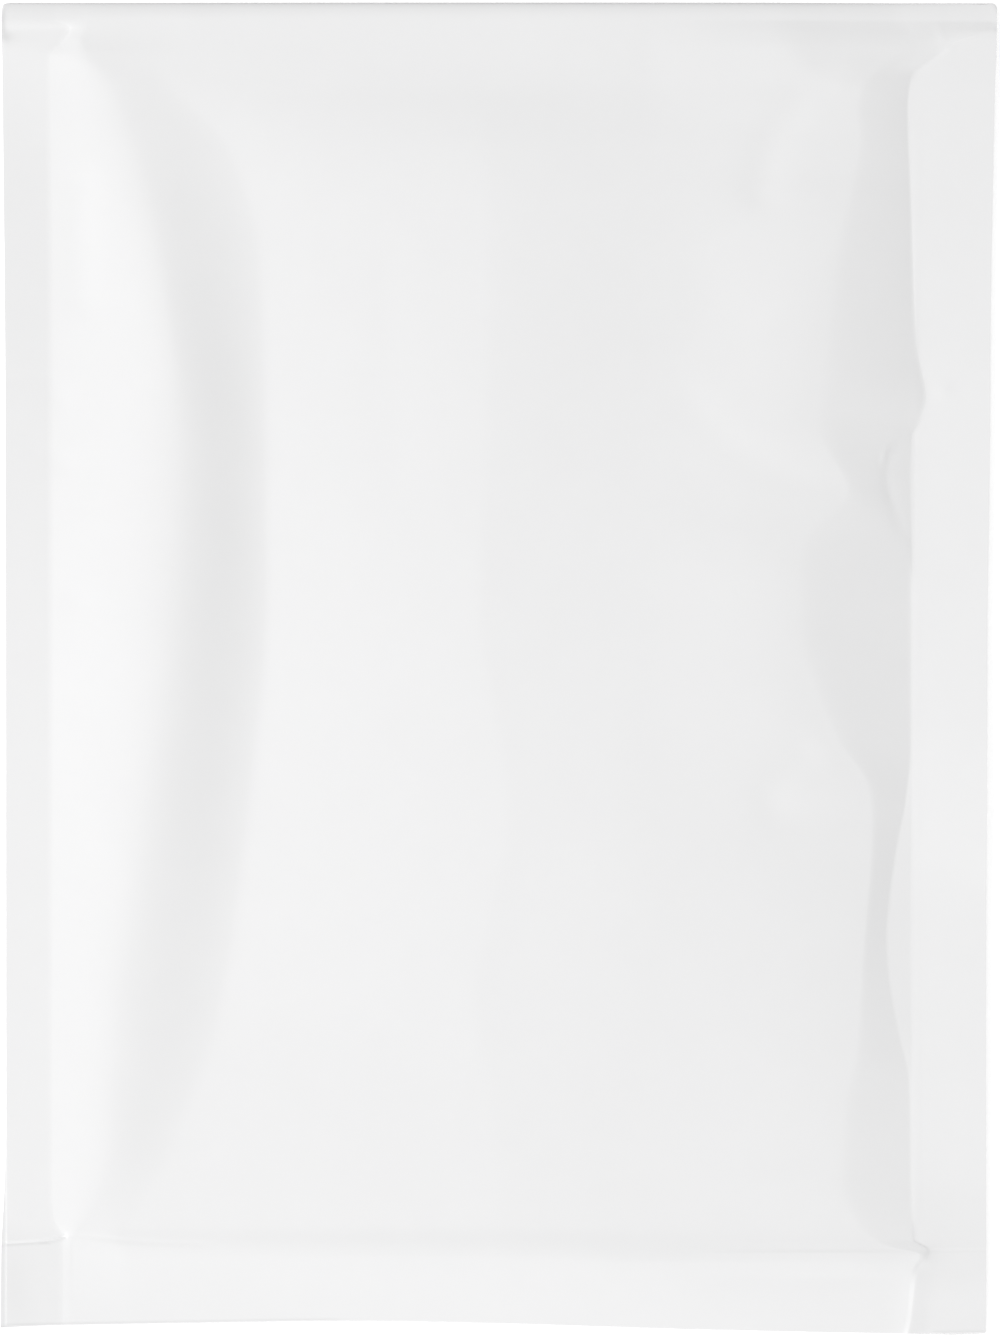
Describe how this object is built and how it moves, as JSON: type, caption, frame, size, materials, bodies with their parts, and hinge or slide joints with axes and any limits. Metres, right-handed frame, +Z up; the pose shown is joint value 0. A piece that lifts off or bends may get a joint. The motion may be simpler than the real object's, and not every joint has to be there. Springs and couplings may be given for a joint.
{
  "type": "bubble padded envelope",
  "caption": "Flat padded mailing envelope in white paper with pressed side and bottom seams, its flap folded over and stuck to the back, for posting small goods.",
  "frame": {"origin": "on the surface that the envelope lies on, under the middle of its outline", "axes": "+X to the right across the front panel, +Y towards the folded top edge, +Z up out of the front panel"},
  "size_m": [0.242, 0.3229, 0.0054],
  "materials": {
    "white_paper": "smooth white kraft paper with a faint satin sheen"
  },
  "bodies": {
    "root": {"padded_envelope": "white_paper"}
  },
  "joints": []
}
